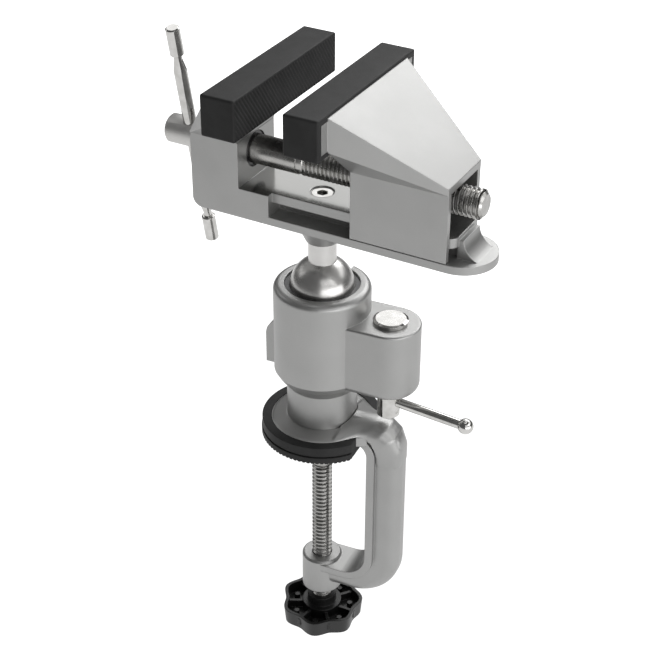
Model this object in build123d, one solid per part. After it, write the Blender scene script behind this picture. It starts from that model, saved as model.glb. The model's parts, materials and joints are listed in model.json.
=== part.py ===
from build123d import *
from math import atan2, cos, degrees, hypot, radians, sin, sqrt
import os

# Ball vise: a 75 mm vise head on a ball joint, with a C-clamp for the edge of a bench.
# Millimetres, +Z up. The origin is the centre of the rubber pad's underside, which is
# the plane of the bench top. +X runs along the vise screw, from the fixed jaw to the
# moving jaw, and +Y across the jaws.

# Running and seating clearances
running_gap = 0.05
sliding_gap = 0.30
seat_gap = 0.10

# Turn of the clamp and the ball housing about the column, away from the vise screw
base_yaw = 5.0

# Bench pad and the disc of the frame that it wraps
pad_r = 24.8
pad_h = 7.5
pad_floor = 3.0
pad_band_h = 2.8
pad_band_out = 0.3
pad_groove_h = 0.5
pad_groove_depth = 0.6
pad_teeth = 84
pad_tooth_depth = 0.5
pad_tooth_length = 3.0
pad_cut_x = 19.6
disc_r = 20.9
disc_h = 4.2

# Post that carries the ball housing
post_r = 14.6
post_h = 2.0
post_flare = 1.2
spigot_r = 9.0

# C-frame, measured from the column axis
throat_reach = 23.4
arm_depth = 13.6
arm_web = 12.4
arm_flange = 16.4
arm_rise = 5.0
arm_root_width = 22.0
flange_t = 3.4
lower_arm_top = -67.6
lower_arm_h = 12.0
shoulder_r = 12.0
heel_r = 22.0
throat_top_r = 6.0
throat_bottom_r = 11.0
arm_edge_r = 5.0
screw_boss_r = 8.6
screw_boss_rise = 1.3
screw_boss_h = 17.8
boss_chamfer = 0.8

# Clamp screw, pressure foot and star knob
clamp_screw_r = 4.25
clamp_screw_tip_ball_r = 3.3
clamp_screw_neck_r = 2.4
clamp_screw_chamfer = 0.8
foot_rest_gap = 2.2
foot_r = 9.5
foot_rim_h = 2.8
foot_rim_chamfer = 1.0
foot_cone_h = 6.3
foot_collar_r = 5.0
foot_collar_h = 4.8
foot_ball_depth = 8.6
foot_mouth_r = 3.0
knob_top = -93.9
knob_h = 7.5
knob_lobes = 7
knob_mean_r = 17.1
knob_wave = 1.0
knob_draft = 0.7
knob_first_lobe = 22.9
knob_wall = 1.5
knob_floor = 2.4
knob_rib_t = 1.4
knob_rib_below_rim = 1.6
knob_hub_r = 8.6
knob_neck_r = 6.4
knob_neck_h = 4.3
knob_pin_r = 1.2
knob_pin_place_r = 12.4
knob_pin_h = 2.4
knob_skin = 1.2
knob_nut_flats = 13.0
knob_nut_h = 5.5

# Ball and stem
ball_r = 13.0
ball_below_rim = 1.5
stem_r = 5.6
stem_reach = 29.1
stem_spigot_r = 3.8
stem_spigot_h = 14.6

# Ball housing
housing_r = 19.5
housing_rim = 70.8
housing_rim_round = 2.6
mouth_r = 15.1
cup_depth = 16.8
shoulder_top = 30.3
shoulder_bottom = 24.6
shoulder_in = 1.6
shoulder_low = 1.2
skirt_r = 14.4
slot_half = 6.3
swivel_web = 5.8
swivel_screw_r = 3.0
swivel_screw_length = 17.0
swivel_head_r = 5.0
swivel_head_h = 3.0
swivel_washer_r = 7.4
swivel_washer_t = 1.0
ring_h = 4.4
ring_sink = 0.8
lug_reach = 29.3
lug_half = 12.2
lug_below_rim = 11.0
lug_bottom = 29.1
lug_bottom_round = 4.0
lug_top_round = 0.8
rib_reach = 24.2
rib_t = 4.0
rib_bottom = 28.5
rib_top = 49.5
rib_round = 7.5

# Ball lock: bolt, brake plunger and lever
bolt_head_r = 7.0
bolt_head_h = 1.7
bolt_head_edge = 0.5
bolt_upper_r = 4.6
bolt_r = 3.0
bolt_cone_above_aim = 3.5
bolt_cone_h = 6.0
plunger_r = 4.0
plunger_drop = 22.8
nose_gap = 0.15
hub_r = 4.6
hub_h = 12.8
hub_floor = 2.0
hub_chamfer = 0.4
hub_flat = 0.3
lever_drop = 6.0
lever_yaw = -8.3
lever_reach = 35.0
lever_rod_r = 2.0
lever_tip_r = 3.2
lever_tang = 0.7

# Vise bed, with heights above its underside
bed_half = 13.6
bed_back = -50.0
bed_corner_r = 4.0
block_front = -29.1
block_top = 30.3
rail_start = -16.0
rail_end = 60.3
rail_top = 12.3
rail_half = 10.5
rail_flange_t = 4.0
rail_web_half = 5.4
plate_t = 3.3
end_lobe_x = 58.8
rail_corner_r = 3.5
ramp_start = 59.7
ramp_crest_x = 62.2
ramp_crest = 10.9
ramp_foot_x = 68.0
ramp_r = 9.0
ramp_half = 7.0
bed_boss_top_r = 10.5
bed_boss_bottom_r = 6.6
bed_boss_h = 8.2
stem_screw_r = 2.5
stem_screw_head_r = 4.1
stem_screw_rim = 0.8
stem_screw_sink = 0.5
stem_screw_recess = 0.6
stem_screw_socket = 4.0
stem_screw_socket_depth = 1.9
stem_screw_length = 18.0

# Jaws
jaw_half = 35.0
jaw_opening = 19.6
cover_half = 37.5
cover_low = 44.1
cover_high = 60.35
cover_depth = 14.3
cover_face = 3.2
cover_wall = 2.4
cover_round = 0.8
fixed_face_x = -14.9
wing_half = 30.8
wing_low = 46.1
wing_high = 59.2
wing_rear_low = 31.0
wing_rear_high = 33.8
wing_rear_step = 0.1
fixed_rear_high = 31.8
moving_length = 39.4
wall_t = 2.3
roof_t = 2.8
guide_length = 12.0
nut_front_wall = 5.0
nut_wall = 2.2
jaw_nut_side = 16.0
jaw_nut_t = 7.0
jaw_nut_chamfer = 0.6
keeper_t = 1.7
keeper_high = 20.0
keeper_screw_r = 1.25
keeper_screw_head_r = 2.2
keeper_head_t = 0.9
keeper_screw_length = 4.8

# Vise screw and its tommy bar
screw_z = 23.6
screw_r = 5.8
screw_back = -67.9
screw_end = 67.1
screw_tip_chamfer = 1.6
thrust_collar_r = 8.0
thrust_collar_t = 4.0
clip_r = 6.9
clip_t = 1.2
clip_sink = 0.5
clip_mouth = 3.4
bar_x = -58.2
bar_tilt = 12.0
bar_r = 2.65
bar_neck_r = 1.65
bar_cap_r = 2.75
bar_cap_h = 12.0
bar_cap_chamfer = 0.5
bar_tenon = 0.7
bar_tenon_h = 4.0
bar_neck_h = 1.8
bar_cone_h = 5.0
collar_pin_r = 1.25
bar_up = 47.6
bar_down = 53.5

# Places worked out from the sizes above
yaw = Rot(0, 0, base_yaw)
disc_bottom = pad_floor
disc_top = disc_bottom + disc_h
post_top = disc_top + post_h
arm_top = disc_top + arm_rise
throat_top = disc_bottom
arm_out = throat_reach + arm_depth
lower_arm_bottom = lower_arm_top - lower_arm_h
screw_boss_top = lower_arm_top + screw_boss_rise
screw_boss_bottom = screw_boss_top - screw_boss_h
foot_top = -foot_rest_gap
foot_bottom = foot_top - foot_rim_h - foot_cone_h - foot_collar_h
foot_ball_z = foot_top - foot_ball_depth
clamp_screw_top = foot_bottom - sliding_gap
knob_bottom = knob_top - knob_h
knob_neck_top = knob_top + knob_neck_h
clamp_screw_bottom = knob_bottom + knob_skin
ball_z = housing_rim - ball_below_rim
cup_floor = housing_rim - cup_depth
well_floor = cup_floor - swivel_head_h - swivel_washer_t
spigot_top = well_floor - swivel_web
lug_top = housing_rim - lug_below_rim
plunger_aim_z = ball_z - plunger_drop
bolt_cone_bottom = plunger_aim_z + bolt_cone_above_aim
bolt_cone_top = bolt_cone_bottom + bolt_cone_h
bed_z = ball_z + stem_reach
seat_sphere_r = ball_r + running_gap
stem_top = bed_z - bed_boss_h
lug_bore_r = bolt_upper_r + seat_gap
bolt_head_low = lug_top + seat_gap
bolt_head_high = bolt_head_low + bolt_head_h
hub_top = lug_bottom - seat_gap
hub_bottom = hub_top - hub_h
lever_z = hub_top - lever_drop
moving_face_x = fixed_face_x + jaw_opening
moving_back_x = moving_face_x + cover_depth
moving_rear_x = moving_back_x + moving_length
fixed_back_x = fixed_face_x - cover_depth
clip_start = block_front - clip_sink - clip_t
stem_screw_top = rail_top - stem_screw_sink
stem_cone_h = stem_screw_head_r - stem_screw_r
jaw_low = cover_low + cover_wall
jaw_high = cover_high - cover_wall
guide_end = moving_back_x + guide_length
nut_front_x = moving_back_x + nut_front_wall
nut_back_x = nut_front_x + jaw_nut_t
slot_gap = sliding_gap / 2
slot_top = rail_top + slot_gap
lip_top = rail_top - rail_flange_t - slot_gap
axis_z = bed_z + screw_z
wing_slope = (wing_high - wing_rear_high) / moving_length


def vertical(radius, low, high):
    """A cylinder on the column axis between two heights."""
    return Pos(0, 0, low) * Cylinder(radius, high - low, align=(Align.CENTER, Align.CENTER, Align.MIN))


def along_x(radius, start, end, z=None):
    """A cylinder along X on the vise screw's axis."""
    height = axis_z if z is None else z
    turned = Rot(0, 90, 0) * Cylinder(radius, end - start, align=(Align.CENTER, Align.CENTER, Align.MIN))
    return Pos(start, 0, height) * turned


def block(x0, x1, half, w0, w1):
    """A box centred on the vise's middle plane, with heights above the bed's underside."""
    return Pos((x0 + x1) / 2, 0, bed_z + (w0 + w1) / 2) * Box(x1 - x0, 2 * half, w1 - w0)


def column_profile(points):
    """A solid of revolution about the column from radius and height pairs."""
    return revolve(Plane.XZ * make_face(Polyline(*points, close=True)), Axis.Z)


def frame_slab(contour, width):
    """A slab of the C-frame: a contour in its own plane, with the width across it."""
    return extrude(Plane.XZ * make_face(contour), width / 2, both=True)


def throat_edge(offset):
    """The inner contour of the C, from the boss round to the disc, set in by an offset."""
    reach = throat_reach + offset
    low = lower_arm_top - offset
    high = throat_top + offset
    bottom_r = throat_bottom_r + offset
    top_r = throat_top_r + offset
    return [
        Line((0, low), (reach - bottom_r, low)),
        RadiusArc((reach - bottom_r, low), (reach, low + bottom_r), -bottom_r),
        Line((reach, low + bottom_r), (reach, high - top_r)),
        RadiusArc((reach, high - top_r), (reach - top_r, high), -top_r),
        Line((reach - top_r, high), (0, high)),
    ]


def make_clamp_frame():
    """The cast C-frame with its disc, post, swivel spigot and screw boss."""
    outer = [
        Line((0, arm_top), (arm_out - shoulder_r, arm_top)),
        RadiusArc((arm_out - shoulder_r, arm_top), (arm_out, arm_top - shoulder_r), shoulder_r),
        Line((arm_out, arm_top - shoulder_r), (arm_out, lower_arm_bottom + heel_r)),
        RadiusArc((arm_out, lower_arm_bottom + heel_r), (arm_out - heel_r, lower_arm_bottom), heel_r),
        Line((arm_out - heel_r, lower_arm_bottom), (0, lower_arm_bottom)),
    ]
    web_ends = [
        Line((0, lower_arm_bottom), (0, lower_arm_top)),
        Line((0, throat_top), (0, arm_top)),
    ]
    web = frame_slab(Wire(outer + web_ends + throat_edge(0)), arm_web)
    back = web.faces().sort_by(Axis.X)[-1]
    web = fillet(back.edges().filter_by(Axis.Z), min(arm_edge_r, arm_web / 2 - running_gap))
    web -= vertical(skirt_r + sliding_gap, post_top, arm_top + 1)
    flange_ends = [
        Line((0, lower_arm_top - flange_t), (0, lower_arm_top)),
        Line((0, throat_top), (0, throat_top + flange_t)),
    ]
    flange = frame_slab(Wire(throat_edge(flange_t) + flange_ends + throat_edge(0)), arm_flange)
    root_end = sqrt(disc_r ** 2 - (arm_root_width / 2) ** 2)
    root_plan = Polyline(
        (0, -arm_root_width / 2),
        (root_end, -arm_root_width / 2),
        (throat_reach, -arm_flange / 2),
        (throat_reach, arm_flange / 2),
        (root_end, arm_root_width / 2),
        (0, arm_root_width / 2),
        close=True,
    )
    root = Pos(0, 0, disc_bottom) * extrude(make_face(root_plan), disc_h)
    root -= frame_slab(Wire(throat_edge(0) + [Line((0, throat_top), (0, lower_arm_top))]), 2 * arm_flange)
    column = column_profile([
        (0, disc_bottom),
        (disc_r, disc_bottom),
        (disc_r, disc_top),
        (post_r + post_flare, disc_top),
        (post_r, disc_top + post_flare),
        (post_r, post_top),
        (spigot_r, post_top),
        (spigot_r, spigot_top),
        (0, spigot_top),
    ])
    boss = chamfer(vertical(screw_boss_r, screw_boss_bottom, screw_boss_top).edges(), boss_chamfer)
    boss_bore = vertical(clamp_screw_r + running_gap, screw_boss_bottom - 1, screw_boss_top + 1)
    screw_hole = vertical(swivel_screw_r, spigot_top - swivel_screw_length, spigot_top + 1)
    return web + flange + root + column + boss - boss_bore - screw_hole


def make_platform_pad(clamp_frame):
    """The rubber pad: a cup round the disc with a serrated foot, cut off on the arm's side."""
    band_r = pad_r + pad_band_out
    groove_top = pad_band_h + pad_groove_h
    cup = vertical(pad_r, groove_top, pad_h) + vertical(band_r, 0, pad_band_h)
    cup += vertical(pad_r - pad_groove_depth, pad_band_h, groove_top)
    cup -= vertical(disc_r, disc_bottom, pad_h + 1)
    side = sqrt(2) * pad_tooth_depth
    tooth = Rot(45, 0, 0) * Box(pad_tooth_length, side, side)
    cup -= PolarLocations(band_r, pad_teeth) * tooth
    beyond = Pos(pad_cut_x + pad_r, 0, pad_h / 2) * Box(2 * pad_r, 4 * pad_r, 2 * pad_h)
    return cup - beyond - clamp_frame


def make_pressure_foot():
    """The foot that presses under the bench, with a socket for the screw's ball tip."""
    rim_low = foot_top - foot_rim_h
    collar_top = rim_low - foot_cone_h
    body = column_profile([
        (0, foot_bottom),
        (foot_collar_r, foot_bottom),
        (foot_collar_r, collar_top),
        (foot_r - foot_rim_chamfer, rim_low),
        (foot_r, rim_low + foot_rim_chamfer),
        (foot_r, foot_top),
        (0, foot_top),
    ])
    socket = Pos(0, 0, foot_ball_z) * Sphere(clamp_screw_tip_ball_r + running_gap)
    return body - socket - vertical(foot_mouth_r, foot_bottom - 1, foot_ball_z)


def make_clamp_screw():
    """The clamp screw: ball tip, neck and threaded length."""
    tip = Pos(0, 0, foot_ball_z) * Sphere(clamp_screw_tip_ball_r)
    neck = vertical(clamp_screw_neck_r, clamp_screw_top - 1, foot_ball_z)
    shank = vertical(clamp_screw_r, clamp_screw_bottom, clamp_screw_top)
    return tip + neck + chamfer(shank.edges().group_by(Axis.Z)[-1], clamp_screw_chamfer)


def knob_outline(inset, height):
    """The knob's wavy outline at a height, drawn in by an inset."""
    points = []
    for step in range(4 * knob_lobes):
        turn = radians(knob_first_lobe + 90 * step / knob_lobes)
        reach = knob_mean_r - inset + knob_wave * cos(radians(90 * step))
        points.append((reach * cos(turn), reach * sin(turn)))
    return Pos(0, 0, height) * make_face(Spline(*points, periodic=True))


def make_clamp_knob():
    """The star knob: open on top, with a hub, a rib at every valley and a pin in every lobe."""
    shell = loft([knob_outline(knob_draft, knob_bottom), knob_outline(0, knob_top)])
    floor_top = knob_bottom + knob_floor
    inner_inset = knob_wall + knob_draft * (1 - knob_floor / knob_h)
    hollow = loft([knob_outline(inner_inset, floor_top), knob_outline(knob_wall, knob_top)])
    hub = vertical(knob_hub_r, floor_top, knob_top) + vertical(knob_neck_r, floor_top, knob_neck_top)
    rib_h = knob_h - knob_floor - knob_rib_below_rim
    rib_length = knob_mean_r - knob_wave
    rib = Pos(rib_length / 2, 0, floor_top + rib_h / 2) * Box(rib_length, knob_rib_t, rib_h)
    pin = Pos(knob_pin_place_r, 0, floor_top) * Cylinder(
        knob_pin_r, knob_pin_h, align=(Align.CENTER, Align.CENTER, Align.MIN))
    inside = hub
    for step in range(knob_lobes):
        lobe = knob_first_lobe + 360 * step / knob_lobes
        inside += Rot(0, 0, lobe) * pin
        inside += Rot(0, 0, lobe + 180 / knob_lobes) * rib
    knob = shell - hollow + inside
    knob -= vertical(clamp_screw_r, clamp_screw_bottom, knob_neck_top + 1)
    return knob - knob_nut_prism()


def knob_nut_prism():
    """The hexagon that is moulded into the knob's hub."""
    hexagon = RegularPolygon(knob_nut_flats / 2, 6, major_radius=False)
    return Pos(0, 0, knob_bottom + knob_skin) * extrude(hexagon, knob_nut_h)


def make_knob_nut():
    """The hexagon nut in the knob, locked to the end of the screw."""
    return knob_nut_prism() - vertical(clamp_screw_r, knob_bottom, knob_top + 1)


def slot_tool():
    """The space that the stem swings through, open at the back of the housing's rim."""
    reach = housing_r + 2
    lying = Rot(-90, 0, 0) * Cylinder(slot_half, reach, align=(Align.CENTER, Align.CENTER, Align.MIN))
    above = Pos(0, reach / 2, reach / 2) * Box(2 * slot_half, reach, reach)
    return Pos(0, 0, ball_z) * (lying + above)


def plunger_axis():
    """The brake plunger's line: it points from the ball's centre down to the lock bolt."""
    length = hypot(lug_reach, ball_z - plunger_aim_z)
    dip = degrees(atan2(ball_z - plunger_aim_z, lug_reach))
    return length, dip


def plunger_rod(radius, start, end):
    """A cylinder on the plunger's line, from one distance to another off the ball's centre."""
    dip = plunger_axis()[1]
    rod = Rot(0, 90 + dip, 0) * Pos(0, 0, start) * Cylinder(
        radius, end - start, align=(Align.CENTER, Align.CENTER, Align.MIN))
    return Pos(0, 0, ball_z) * rod


def make_ball_housing():
    """The swivelling casting: cup, rear slot, side lug for the lock bolt, rib and skirt."""
    body = column_profile([
        (0, post_top + seat_gap),
        (skirt_r, post_top + seat_gap),
        (skirt_r, shoulder_bottom),
        (housing_r - shoulder_in, shoulder_top - shoulder_low),
        (housing_r, shoulder_top + shoulder_in),
        (housing_r, housing_rim),
        (0, housing_rim),
    ])
    rim = body.edges().group_by(Axis.Z)[-1]
    body = fillet(rim, housing_rim_round)
    lug_plan = Pos(lug_reach / 2, 0) * Rectangle(lug_reach, 2 * lug_half)
    lug_plan += Pos(lug_reach, 0) * Circle(lug_half)
    lug = Pos(0, 0, lug_bottom) * extrude(lug_plan, lug_top - lug_bottom)
    lug = fillet(lug.edges().group_by(Axis.Z)[0], lug_bottom_round)
    lug = fillet(lug.edges().group_by(Axis.Z)[-1], lug_top_round)
    rib_h = rib_top - rib_bottom
    rib_plan = Pos(-rib_reach / 2, (rib_top + rib_bottom) / 2) * Rectangle(rib_reach, rib_h)
    corner = rib_plan.vertices().group_by(Axis.X)[0].sort_by(Axis.Y)[-1]
    rib = extrude(Plane.XZ * fillet(corner, rib_round), rib_t / 2, both=True)
    cup = vertical(mouth_r, cup_floor, housing_rim + 1)
    screw_well = vertical(swivel_washer_r + seat_gap, well_floor, cup_floor)
    pivot = vertical(spigot_r + running_gap, post_top, spigot_top + sliding_gap)
    screw_way = vertical(swivel_screw_r + seat_gap, spigot_top, cup_floor)
    bolt_way = Pos(lug_reach, 0, 0) * (
        vertical(lug_bore_r, bolt_cone_bottom - bolt_r, lug_top + 1)
        + vertical(bolt_r + seat_gap, lug_bottom - 1, lug_top))
    plunger_way = plunger_rod(plunger_r + running_gap, ball_r - 4, plunger_axis()[0])
    body = body + lug + rib
    return body - cup - screw_well - pivot - screw_way - bolt_way - plunger_way - slot_tool()


def make_ball_seat():
    """The nylon seat under the ball, bored for the plunger and cleared for the slot."""
    seat_top = housing_rim - ring_sink - ring_h - seat_gap
    seat = vertical(mouth_r - running_gap, cup_floor, seat_top)
    seat -= Pos(0, 0, ball_z) * Sphere(seat_sphere_r)
    seat -= plunger_rod(plunger_r + running_gap, 0, 2 * mouth_r)
    return seat - slot_tool()


def make_retaining_ring():
    """The black split ring that snaps in over the ball's middle, open at the slot."""
    ring_top = housing_rim - ring_sink
    ring = vertical(mouth_r - running_gap, ring_top - ring_h, ring_top)
    ring -= Pos(0, 0, ball_z) * Sphere(seat_sphere_r)
    return ring - slot_tool()


def make_swivel_washer():
    """The washer under the swivel screw's head, on the floor of the well."""
    low = well_floor + seat_gap
    return vertical(swivel_washer_r, low, low + swivel_washer_t) - vertical(swivel_screw_r, low, cup_floor)


def make_swivel_screw():
    """The screw that holds the housing down on the post's spigot."""
    head_low = cup_floor - swivel_head_h + seat_gap
    head = vertical(swivel_head_r, head_low, head_low + swivel_head_h - 2 * seat_gap)
    socket = Pos(0, 0, head_low + 1.2) * extrude(RegularPolygon(2.0, 6, major_radius=False), swivel_head_h)
    return head - socket + vertical(swivel_screw_r, spigot_top - swivel_screw_length + seat_gap, head_low)


def make_lock_bolt():
    """The lock bolt: flat polished head, wedge cone, and the thread for the lever hub."""
    bolt = column_profile([
        (0, hub_bottom + hub_floor),
        (bolt_r, hub_bottom + hub_floor),
        (bolt_r, bolt_cone_bottom),
        (bolt_upper_r, bolt_cone_top),
        (bolt_upper_r, bolt_head_low),
        (bolt_head_r, bolt_head_low),
        (bolt_head_r, bolt_head_high - bolt_head_edge),
        (bolt_head_r - 2 * bolt_head_edge, bolt_head_high),
        (0, bolt_head_high),
    ])
    return Pos(lug_reach, 0, 0) * bolt


def plunger_nose():
    """How far the centre of the plunger's round nose lies from the ball's centre."""
    flare = (bolt_upper_r - bolt_r) / (bolt_cone_top - bolt_cone_bottom)
    slant = sqrt(1 + flare ** 2)
    dip = radians(plunger_axis()[1])
    reach = lug_reach - bolt_r - flare * (ball_z - bolt_cone_bottom) - slant * (plunger_r + nose_gap)
    return reach / (cos(dip) - flare * sin(dip))


def make_brake_plunger():
    """The plunger between the bolt's cone and the ball: a hollow face and a round nose."""
    face_r = ball_r + seat_gap
    edge = sqrt(face_r ** 2 - plunger_r ** 2)
    nose = plunger_nose()
    profile = [
        Line((0, face_r), (0, nose + plunger_r)),
        RadiusArc((0, nose + plunger_r), (plunger_r, nose), plunger_r),
        Line((plunger_r, nose), (plunger_r, edge)),
        RadiusArc((plunger_r, edge), (0, face_r), -face_r),
    ]
    rod = revolve(Plane.XZ * make_face(Wire(profile)), Axis.Z)
    return Pos(0, 0, ball_z) * Rot(0, 90 + plunger_axis()[1], 0) * rod


def lever_place():
    """The lever's own place: on the bolt's axis at the rod's height, turned along the rod."""
    return Pos(lug_reach, 0, lever_z) * Rot(0, 0, lever_yaw)


def make_lever_hub():
    """The threaded hub under the lug, with a flat where the rod is screwed in."""
    hub = Pos(lug_reach, 0, 0) * chamfer(vertical(hub_r, hub_bottom, hub_top).edges(), hub_chamfer)
    hub -= Pos(lug_reach, 0, 0) * vertical(bolt_r + running_gap, hub_bottom + hub_floor - seat_gap, hub_top + 1)
    rod_seat = Pos(hub_r, 0, 0) * Box(2 * hub_flat, 2 * hub_r, 2 * hub_r)
    rod_hole = Rot(0, 90, 0) * Cylinder(lever_rod_r * lever_tang, 2 * hub_r, align=(Align.CENTER, Align.CENTER, Align.MIN))
    return hub - lever_place() * (rod_seat + rod_hole)


def make_lever_rod():
    """The lever's rod with its reduced end in the hub."""
    start = hub_r - hub_flat
    end = lever_reach - lever_tip_r * lever_tang
    rod = Pos(start, 0, 0) * Rot(0, 90, 0) * Cylinder(
        lever_rod_r, end - start, align=(Align.CENTER, Align.CENTER, Align.MIN))
    tang = Pos(bolt_r + seat_gap, 0, 0) * Rot(0, 90, 0) * Cylinder(
        lever_rod_r * lever_tang, start - bolt_r, align=(Align.CENTER, Align.CENTER, Align.MIN))
    return lever_place() * (rod + tang)


def make_lever_tip(lever_rod):
    """The ball on the end of the lever."""
    return lever_place() * Pos(lever_reach, 0, 0) * Sphere(lever_tip_r) - lever_rod


def make_ball_stud():
    """The ball with its stem and the spigot that the vise bed turns on."""
    ball = Pos(0, 0, ball_z) * Sphere(ball_r)
    stem = vertical(stem_r, ball_z, stem_top - seat_gap)
    spigot = vertical(stem_spigot_r, stem_top - 1, stem_top + stem_spigot_h)
    screw_hole = vertical(stem_screw_r, bed_z + stem_screw_top - stem_screw_length, stem_top + stem_spigot_h + 1)
    return ball + stem + spigot - screw_hole


def make_stem_screw():
    """The countersunk socket screw that holds the bed on the stem."""
    top = bed_z + stem_screw_top
    cone_low = top - stem_cone_h - stem_screw_rim
    head = column_profile([
        (0, cone_low),
        (stem_screw_r, cone_low),
        (stem_screw_head_r, top - stem_screw_rim),
        (stem_screw_head_r, top),
        (0, top),
    ])
    shank = vertical(stem_screw_r, top - stem_screw_length + seat_gap, cone_low)
    hexagon = RegularPolygon(stem_screw_socket / 2, 6, major_radius=False)
    socket = Pos(0, 0, top - stem_screw_socket_depth) * extrude(hexagon, stem_screw_length)
    return head + shank - socket


def wedge_section(x, half, low, high):
    """A cross-section of a jaw's flared body: a foot on the block, sloping flanks, a flat top."""
    outline = Polyline(
        (-bed_half, wing_rear_low),
        (-half, low),
        (-half, high),
        (half, high),
        (half, low),
        (bed_half, wing_rear_low),
        close=True,
    )
    return Plane(origin=(x, 0, bed_z), x_dir=(0, 1, 0), z_dir=(1, 0, 0)) * make_face(outline)


def jaw_wedge(front_x, rear_x, rear_high):
    """The flared body between a jaw plate and the narrow end of its casting."""
    front = wedge_section(front_x, wing_half, wing_low, wing_high)
    rear = wedge_section(rear_x, bed_half + wing_rear_step, wing_rear_low + wing_rear_step, rear_high)
    return loft([front, rear], ruled=True)


def make_vise_bed():
    """The bed casting: fixed jaw, screw block, T-rail, end lobe and the boss for the stem."""
    bed = block(bed_back, block_front, bed_half, 0, wing_rear_low)
    corner = bed.edges().filter_by(Axis.Y).group_by(Axis.Z)[0].sort_by(Axis.X)[0]
    bed = fillet(corner, bed_corner_r)
    bed += jaw_wedge(fixed_back_x, bed_back, fixed_rear_high)
    bed += Pos((fixed_back_x + fixed_face_x - cover_face) / 2, 0, bed_z + (jaw_low + jaw_high) / 2) * Box(
        cover_depth - cover_face, 2 * jaw_half, jaw_high - jaw_low)
    bed += block(block_front, rail_start, bed_half, 0, rail_top)
    bed += block(rail_start, end_lobe_x, bed_half, 0, plate_t)
    bed += Pos(end_lobe_x, 0, bed_z) * Cylinder(bed_half, plate_t, align=(Align.CENTER, Align.CENTER, Align.MIN))
    bed += block(rail_start, rail_end, rail_web_half, 0, rail_top)
    flange = block(rail_start, rail_end, rail_half, rail_top - rail_flange_t, rail_top)
    flange_end = flange.edges().filter_by(Axis.Z).group_by(Axis.X)[-1]
    bed += fillet(flange_end, rail_corner_r)
    crest_z = bed_z + ramp_crest
    foot_z = bed_z + plate_t
    ramp = [
        Line((ramp_start, bed_z), (ramp_foot_x, bed_z)),
        Line((ramp_foot_x, bed_z), (ramp_foot_x, foot_z)),
        RadiusArc((ramp_foot_x, foot_z), (ramp_crest_x, crest_z), ramp_r),
        Line((ramp_crest_x, crest_z), (ramp_start, crest_z)),
        Line((ramp_start, crest_z), (ramp_start, bed_z)),
    ]
    bed += extrude(Plane.XZ * make_face(Wire(ramp)), ramp_half, both=True)
    bed += column_profile([
        (0, stem_top),
        (bed_boss_bottom_r, stem_top),
        (bed_boss_top_r, bed_z),
        (bed_boss_top_r, bed_z + 1),
        (0, bed_z + 1),
    ])
    bed -= along_x(screw_r + running_gap, bed_back - 1, block_front + 1)
    bed -= along_x(thrust_collar_r + seat_gap, bed_back - 1, bed_back + thrust_collar_t)
    bed -= vertical(stem_spigot_r + running_gap, stem_top - 1, stem_top + stem_spigot_h + seat_gap)
    cone_top = bed_z + stem_screw_top - stem_screw_rim - seat_gap
    bed -= column_profile([
        (0, stem_top),
        (stem_screw_r + seat_gap, stem_top),
        (stem_screw_r + seat_gap, cone_top - stem_cone_h),
        (stem_screw_head_r + seat_gap, cone_top),
        (stem_screw_head_r + seat_gap, bed_z + stem_screw_top),
        (stem_screw_head_r + stem_screw_recess, bed_z + stem_screw_top),
        (stem_screw_head_r + stem_screw_recess, bed_z + rail_top + 1),
        (0, bed_z + rail_top + 1),
    ])
    bed -= along_x(clip_r + sliding_gap, clip_start - seat_gap, block_front + 1)
    return bed


def make_jaw_cover(face_x, back_x):
    """A rubber cover: a cap over the jaw plate, open at the back."""
    low_x, high_x = sorted((face_x, back_x))
    shell = block(low_x, high_x, cover_half, cover_low, cover_high)
    shell = fillet(shell.edges(), cover_round)
    inward = 1 if back_x > face_x else -1
    x0, x1 = sorted((face_x + inward * cover_face, back_x + inward))
    return shell - block(x0, x1, jaw_half, jaw_low, jaw_high)


def make_moving_jaw():
    """The sliding jaw: plate, wings, hollow body over the rail and the lip under one side."""
    jaw = block(moving_face_x + cover_face, moving_back_x, jaw_half, jaw_low, jaw_high)
    jaw += jaw_wedge(moving_back_x, moving_rear_x, wing_rear_high)
    jaw += block(moving_back_x, moving_rear_x, bed_half, plate_t + sliding_gap, wing_rear_low)
    ceiling = wing_rear_high - roof_t
    hollow = [
        (nut_back_x + nut_wall, bed_z),
        (moving_rear_x + 1, bed_z),
        (moving_rear_x + 1, bed_z + ceiling - wing_slope),
        (nut_back_x + nut_wall, bed_z + ceiling + wing_slope * (moving_rear_x - nut_back_x - nut_wall)),
    ]
    jaw -= extrude(Plane.XZ * make_face(Polyline(*hollow, close=True)), bed_half - wall_t, both=True)
    jaw -= block(moving_back_x - 1, guide_end + 1, rail_half + slot_gap, lip_top, slot_top)
    jaw -= block(moving_back_x - 1, guide_end + 1, rail_web_half + slot_gap, 0, slot_top)
    jaw -= block(guide_end, nut_back_x + nut_wall + 1, bed_half - wall_t, 0, slot_top)
    jaw -= keeper_space()
    jaw -= keeper_screw_holes()
    jaw -= along_x(screw_r + sliding_gap, moving_back_x - 1, nut_back_x + nut_wall + 1)
    nut_half = jaw_nut_side / 2 + seat_gap
    return jaw - block(
        nut_front_x - seat_gap, nut_back_x + seat_gap, nut_half, rail_top, screw_z + nut_half)


def keeper_space():
    """The L-shaped space of the keeper: the far lip under the rail and the tab up the side."""
    lip = (bed_half + rail_web_half + slot_gap) / 2
    lip_width = bed_half - rail_web_half - slot_gap
    length = guide_end - moving_back_x
    middle_x = (guide_end + moving_back_x) / 2
    low = plate_t + sliding_gap
    under = Pos(middle_x, lip, bed_z + (low + lip_top) / 2) * Box(length, lip_width, lip_top - low)
    tab = Pos(middle_x, bed_half - keeper_t / 2, bed_z + (low + keeper_high) / 2)
    return under + tab * Box(length, keeper_t, keeper_high - low)


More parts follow.
